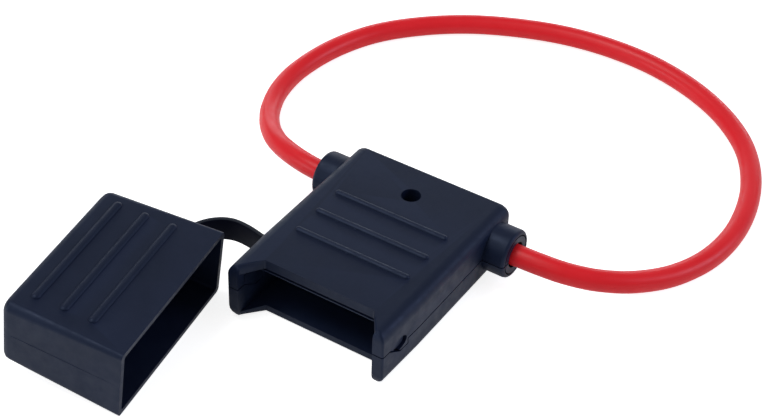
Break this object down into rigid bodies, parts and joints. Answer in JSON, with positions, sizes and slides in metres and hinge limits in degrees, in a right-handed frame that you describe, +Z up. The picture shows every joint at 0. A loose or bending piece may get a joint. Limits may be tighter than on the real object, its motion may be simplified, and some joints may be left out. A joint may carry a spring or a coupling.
{
  "type": "inline blade fuse holder",
  "caption": "Inline holder for a large blade fuse: a snapped two-part body, a slip-on cap on a strap, and a loop of wire from side to side.",
  "frame": {"origin": "on the surface it lies on, below the middle of the holder and its parked cap, without the wire", "axes": "+Y from the mouth to the back of the holder, +X across the mouth, +Z up"},
  "size_m": [0.1206, 0.1749, 0.0202],
  "materials": {
    "shell_plastic": "fine satin, as moulded",
    "strap_plastic": "satin, flexible",
    "wire_insulation": "soft gloss",
    "tinned_brass": "tinned, satin",
    "bare_copper": "bright copper"
  },
  "bodies": {
    "holder": {"upper_shell": "shell_plastic", "lower_shell": "shell_plastic", "terminal_left": "tinned_brass", "terminal_right": "tinned_brass", "conductor_left": "bare_copper", "conductor_right": "bare_copper", "wire_loop": "wire_insulation"},
    "strap": {"tether_strap": "strap_plastic"},
    "cap": {"cap": "shell_plastic"}
  },
  "joints": [
    {"name": "cap_push", "type": "slide", "parent": "holder", "child": "strap", "axis": [0, 0.999, -0.0442], "range_m": [0, 0.01191], "deforming": ["tether_strap"]},
    {"name": "cap_swing", "type": "hinge", "parent": "strap", "child": "cap", "pos_m": [-0.00508, -0.00032, 0.00749], "axis": [0.0712, -0.0609, 0.9956], "range_deg": [0, 81.29], "deforming": ["tether_strap"]}
  ]
}
